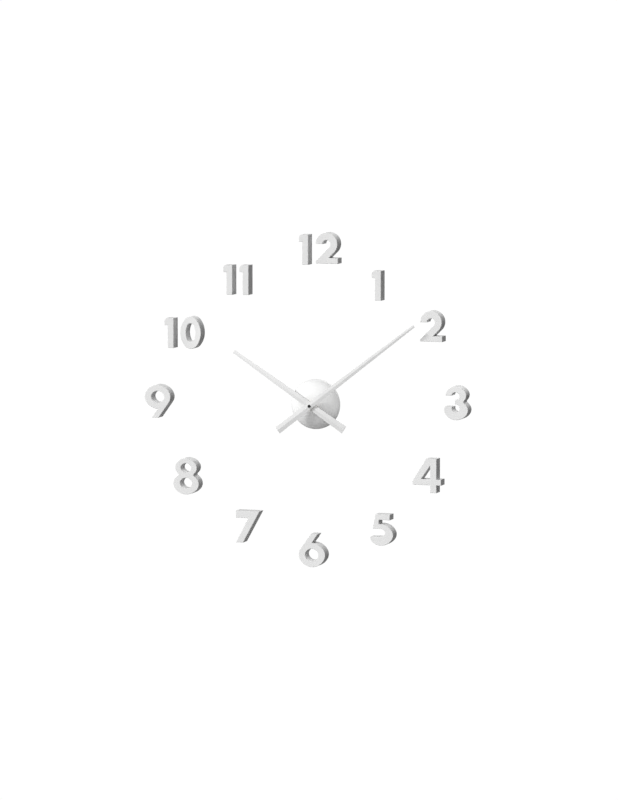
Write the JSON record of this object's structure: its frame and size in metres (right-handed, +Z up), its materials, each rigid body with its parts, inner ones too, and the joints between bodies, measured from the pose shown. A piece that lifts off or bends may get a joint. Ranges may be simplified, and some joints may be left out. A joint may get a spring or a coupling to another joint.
{
  "type": "sticker wall clock",
  "caption": "Wall clock of separate stick-on white numerals around a domed hub with two long tapered hands, driven by a battery quartz movement inside the hub.",
  "frame": {"origin": "on the wall plane, on the axis the hands turn about, on the face of the hub's adhesive pad", "axes": "+X to the viewer's right, +Y into the wall, +Z up"},
  "size_m": [0.6146, 0.0432, 0.6045],
  "materials": {
    "numeral_plastic": "satin white moulded plastic",
    "foam_tape": "double-sided adhesive foam",
    "hub_plastic": "gloss white moulded plastic",
    "hand_metal": "satin white lacquer",
    "brass": "turned, bare",
    "dark_nut": "blackened cap nut",
    "washer_rubber": "moulded",
    "case_plastic": "finely textured black",
    "gear_plastic": "natural moulded gear plastic",
    "magnet": "bonded magnet with moulded pinion",
    "shaft_brass": "turned, bare",
    "spring_steel": "spring temper",
    "zinc_steel": "zinc plated",
    "nickel_strip": "nickel plated strip",
    "battery_sleeve": "plain sleeve over the can",
    "board": "paper laminate",
    "chip_resin": "resin drop",
    "crystal_can": "drawn can",
    "copper_wire": "enamelled copper winding",
    "stator_iron": "punched sheet"
  },
  "bodies": {
    "clock_base": {"numeral_1": "numeral_plastic", "numeral_2": "numeral_plastic", "numeral_3": "numeral_plastic", "numeral_4": "numeral_plastic", "numeral_5": "numeral_plastic", "numeral_6": "numeral_plastic", "numeral_7": "numeral_plastic", "numeral_8": "numeral_plastic", "numeral_9": "numeral_plastic", "numeral_10_one": "numeral_plastic", "numeral_10_zero": "numeral_plastic", "numeral_11_left": "numeral_plastic", "numeral_11_right": "numeral_plastic", "numeral_12_one": "numeral_plastic", "numeral_12_two": "numeral_plastic", "numeral_adhesive_pads": "foam_tape", "hub_adhesive_pad": "foam_tape", "hub_cover": "hub_plastic", "brass_washer": "brass", "fixing_nut": "brass", "threaded_bushing": "brass", "rubber_washer": "washer_rubber", "movement_case": "case_plastic", "movement_back_cover": "case_plastic", "hanger_bracket": "zinc_steel", "case_screws": "zinc_steel", "battery_contact_positive": "nickel_strip", "battery_contact_negative": "nickel_strip", "battery": "battery_sleeve", "circuit_board": "board", "driver_chip": "chip_resin", "quartz_crystal": "crystal_can", "drive_coil": "copper_wire", "stator": "stator_iron"},
    "minute_body": {"minute_hand": "hand_metal", "minute_hand_collet": "brass", "hand_nut": "dark_nut", "minute_shaft": "shaft_brass", "clutch_spring": "spring_steel"},
    "hour_body": {"hour_hand": "hand_metal", "hour_hand_collet": "brass", "hour_wheel": "gear_plastic"},
    "setting_body": {"setting_knob": "gear_plastic"},
    "centre_body": {"centre_wheel": "gear_plastic"},
    "third_body": {"third_wheel": "gear_plastic"},
    "second_body": {"second_wheel": "gear_plastic"},
    "intermediate_body": {"intermediate_wheel": "gear_plastic"},
    "rotor_body": {"rotor": "magnet"}
  },
  "joints": [
    {"name": "minute_hand_turn", "type": "hinge", "parent": "clock_base", "child": "minute_body", "pos_m": [0, 0, 0], "axis": [0, 1, 0], "continuous": true},
    {"name": "hour_hand_turn", "type": "hinge", "parent": "clock_base", "child": "hour_body", "pos_m": [0, 0, 0], "axis": [0, 1, 0], "continuous": true},
    {"name": "setting_knob_turn", "type": "hinge", "parent": "clock_base", "child": "setting_body", "pos_m": [-0.00849, 0, 0.00849], "axis": [0, 1, 0], "continuous": true},
    {"name": "rotor_turn", "type": "hinge", "parent": "clock_base", "child": "rotor_body", "pos_m": [-0.00125, 0, 0.01637], "axis": [0, 1, 0], "continuous": true},
    {"name": "intermediate_wheel_turn", "type": "hinge", "parent": "clock_base", "child": "intermediate_body", "pos_m": [0.00575, 0, 0.01637], "axis": [0, 1, 0], "continuous": true},
    {"name": "second_wheel_turn", "type": "hinge", "parent": "clock_base", "child": "second_body", "pos_m": [0.01199, 0, 0.01277], "axis": [0, 1, 0], "continuous": true},
    {"name": "third_wheel_turn", "type": "hinge", "parent": "clock_base", "child": "third_body", "pos_m": [0.00979, 0, 0.00456], "axis": [0, 1, 0], "continuous": true},
    {"name": "centre_wheel_turn", "type": "hinge", "parent": "clock_base", "child": "centre_body", "pos_m": [0, 0, 0], "axis": [0, 1, 0], "continuous": true}
  ],
  "couplings": [
    {"joint": "hour_hand_turn", "follows": "minute_hand_turn", "ratio": 0.083333},
    {"joint": "setting_knob_turn", "follows": "minute_hand_turn", "ratio": -0.33333},
    {"joint": "intermediate_wheel_turn", "follows": "rotor_turn", "ratio": -0.16667},
    {"joint": "second_wheel_turn", "follows": "rotor_turn", "ratio": 0.033333},
    {"joint": "third_wheel_turn", "follows": "rotor_turn", "ratio": -0.0044444},
    {"joint": "centre_wheel_turn", "follows": "rotor_turn", "ratio": 0.00055556}
  ]
}
